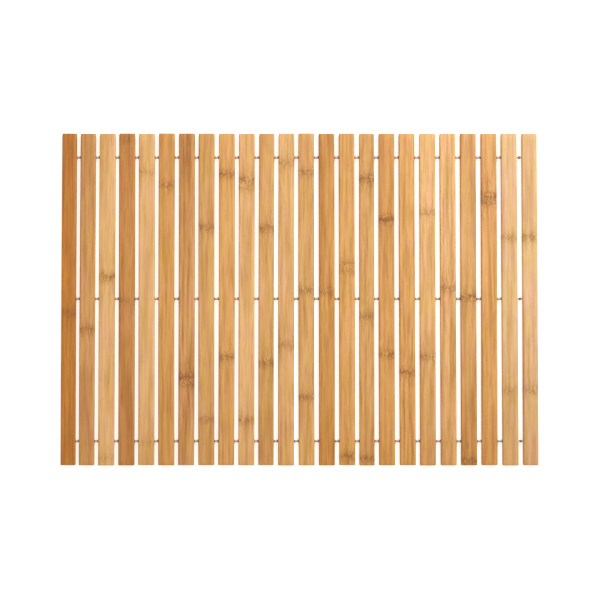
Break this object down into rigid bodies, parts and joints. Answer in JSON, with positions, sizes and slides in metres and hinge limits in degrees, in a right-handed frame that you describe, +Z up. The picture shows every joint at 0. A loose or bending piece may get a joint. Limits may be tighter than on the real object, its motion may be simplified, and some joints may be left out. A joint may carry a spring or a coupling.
{
  "type": "bath mat",
  "caption": "Roll-up duckboard bath mat of parallel bamboo slats strung on elastic cords, with short spacer tubes that keep the drain gaps open.",
  "frame": {"origin": "on the floor, under the middle of the mat's outline", "axes": "+X across the slats, from slat_01 to slat_24; +Y along the slats; +Z up, out of the floor"},
  "size_m": [0.5734, 0.4, 0.008],
  "materials": {
    "bamboo": "satin",
    "cord": "matte",
    "spacer": "satin"
  },
  "bodies": {
    "slat_01": {"slat_01": "bamboo"},
    "slat_02": {"slat_02": "bamboo"},
    "slat_03": {"slat_03": "bamboo"},
    "slat_04": {"slat_04": "bamboo"},
    "slat_05": {"slat_05": "bamboo"},
    "slat_06": {"slat_06": "bamboo"},
    "slat_07": {"slat_07": "bamboo"},
    "slat_08": {"slat_08": "bamboo"},
    "slat_09": {"slat_09": "bamboo"},
    "slat_10": {"slat_10": "bamboo"},
    "slat_11": {"slat_11": "bamboo"},
    "slat_12": {"slat_12": "bamboo", "cord_front": "cord", "cord_middle": "cord", "cord_back": "cord"},
    "slat_13": {"slat_13": "bamboo"},
    "slat_14": {"slat_14": "bamboo"},
    "slat_15": {"slat_15": "bamboo"},
    "slat_16": {"slat_16": "bamboo"},
    "slat_17": {"slat_17": "bamboo"},
    "slat_18": {"slat_18": "bamboo"},
    "slat_19": {"slat_19": "bamboo"},
    "slat_20": {"slat_20": "bamboo"},
    "slat_21": {"slat_21": "bamboo"},
    "slat_22": {"slat_22": "bamboo"},
    "slat_23": {"slat_23": "bamboo"},
    "slat_24": {"slat_24": "bamboo"}
  },
  "joints": [
    {"name": "bend_01_02", "type": "hinge", "parent": "slat_01", "child": "slat_02", "pos_m": [-0.2668, 0, 0.004], "axis": [0, -1, 0], "range_deg": [0, 22], "deforming": ["cord_front", "cord_middle", "cord_back"]},
    {"name": "bend_02_03", "type": "hinge", "parent": "slat_02", "child": "slat_03", "pos_m": [-0.24388, 0, 0.004], "axis": [0, -1, 0], "range_deg": [0, 22], "deforming": ["cord_front", "cord_middle", "cord_back"]},
    {"name": "bend_03_04", "type": "hinge", "parent": "slat_03", "child": "slat_04", "pos_m": [-0.22001, 0, 0.004], "axis": [0, -1, 0], "range_deg": [0, 23], "deforming": ["cord_front", "cord_middle", "cord_back"]},
    {"name": "bend_04_05", "type": "hinge", "parent": "slat_04", "child": "slat_05", "pos_m": [-0.19609, 0, 0.004], "axis": [0, -1, 0], "range_deg": [0, 23], "deforming": ["cord_front", "cord_middle", "cord_back"]},
    {"name": "bend_05_06", "type": "hinge", "parent": "slat_05", "child": "slat_06", "pos_m": [-0.17214, 0, 0.004], "axis": [0, -1, 0], "range_deg": [0, 24], "deforming": ["cord_front", "cord_middle", "cord_back"]},
    {"name": "bend_06_07", "type": "hinge", "parent": "slat_06", "child": "slat_07", "pos_m": [-0.14813, 0, 0.004], "axis": [0, -1, 0], "range_deg": [0, 24], "deforming": ["cord_front", "cord_middle", "cord_back"]},
    {"name": "bend_07_08", "type": "hinge", "parent": "slat_07", "child": "slat_08", "pos_m": [-0.12408, 0, 0.004], "axis": [0, -1, 0], "range_deg": [0, 25], "deforming": ["cord_front", "cord_middle", "cord_back"]},
    {"name": "bend_08_09", "type": "hinge", "parent": "slat_08", "child": "slat_09", "pos_m": [-0.09999, 0, 0.004], "axis": [0, -1, 0], "range_deg": [0, 26], "deforming": ["cord_front", "cord_middle", "cord_back"]},
    {"name": "bend_09_10", "type": "hinge", "parent": "slat_09", "child": "slat_10", "pos_m": [-0.07584, 0, 0.004], "axis": [0, -1, 0], "range_deg": [0, 27], "deforming": ["cord_front", "cord_middle", "cord_back"]},
    {"name": "bend_10_11", "type": "hinge", "parent": "slat_10", "child": "slat_11", "pos_m": [-0.05166, 0, 0.004], "axis": [0, -1, 0], "range_deg": [0, 28], "deforming": ["cord_front", "cord_middle", "cord_back"]},
    {"name": "bend_11_12", "type": "hinge", "parent": "slat_11", "child": "slat_12", "pos_m": [-0.02813, 0, 0.004], "axis": [0, -1, 0], "range_deg": [0, 29], "deforming": ["cord_front", "cord_middle", "cord_back"]},
    {"name": "bend_12_13", "type": "hinge", "parent": "slat_12", "child": "slat_13", "pos_m": [-0.00385, 0, 0.004], "axis": [0, -1, 0], "range_deg": [0, 30], "deforming": ["cord_front", "cord_middle", "cord_back"]},
    {"name": "bend_13_14", "type": "hinge", "parent": "slat_13", "child": "slat_14", "pos_m": [0.02047, 0, 0.004], "axis": [0, -1, 0], "range_deg": [0, 31], "deforming": ["cord_front", "cord_middle", "cord_back"]},
    {"name": "bend_14_15", "type": "hinge", "parent": "slat_14", "child": "slat_15", "pos_m": [0.04484, 0, 0.004], "axis": [0, -1, 0], "range_deg": [0, 32], "deforming": ["cord_front", "cord_middle", "cord_back"]},
    {"name": "bend_15_16", "type": "hinge", "parent": "slat_15", "child": "slat_16", "pos_m": [0.06925, 0, 0.004], "axis": [0, -1, 0], "range_deg": [0, 34], "deforming": ["cord_front", "cord_middle", "cord_back"]},
    {"name": "bend_16_17", "type": "hinge", "parent": "slat_16", "child": "slat_17", "pos_m": [0.09281, 0, 0.004], "axis": [0, -1, 0], "range_deg": [0, 35], "deforming": ["cord_front", "cord_middle", "cord_back"]},
    {"name": "bend_17_18", "type": "hinge", "parent": "slat_17", "child": "slat_18", "pos_m": [0.11732, 0, 0.004], "axis": [0, -1, 0], "range_deg": [0, 36], "deforming": ["cord_front", "cord_middle", "cord_back"]},
    {"name": "bend_18_19", "type": "hinge", "parent": "slat_18", "child": "slat_19", "pos_m": [0.14187, 0, 0.004], "axis": [0, -1, 0], "range_deg": [0, 38], "deforming": ["cord_front", "cord_middle", "cord_back"]},
    {"name": "bend_19_20", "type": "hinge", "parent": "slat_19", "child": "slat_20", "pos_m": [0.16646, 0, 0.004], "axis": [0, -1, 0], "range_deg": [0, 39], "deforming": ["cord_front", "cord_middle", "cord_back"]},
    {"name": "bend_20_21", "type": "hinge", "parent": "slat_20", "child": "slat_21", "pos_m": [0.1911, 0, 0.004], "axis": [0, -1, 0], "range_deg": [0, 41], "deforming": ["cord_front", "cord_middle", "cord_back"]},
    {"name": "bend_21_22", "type": "hinge", "parent": "slat_21", "child": "slat_22", "pos_m": [0.21579, 0, 0.004], "axis": [0, -1, 0], "range_deg": [0, 43], "deforming": ["cord_front", "cord_middle", "cord_back"]},
    {"name": "bend_22_23", "type": "hinge", "parent": "slat_22", "child": "slat_23", "pos_m": [0.24052, 0, 0.004], "axis": [0, -1, 0], "range_deg": [0, 44], "deforming": ["cord_front", "cord_middle", "cord_back"]},
    {"name": "bend_23_24", "type": "hinge", "parent": "slat_23", "child": "slat_24", "pos_m": [0.2653, 0, 0.004], "axis": [0, -1, 0], "range_deg": [0, 46], "deforming": ["cord_front", "cord_middle", "cord_back"]}
  ]
}
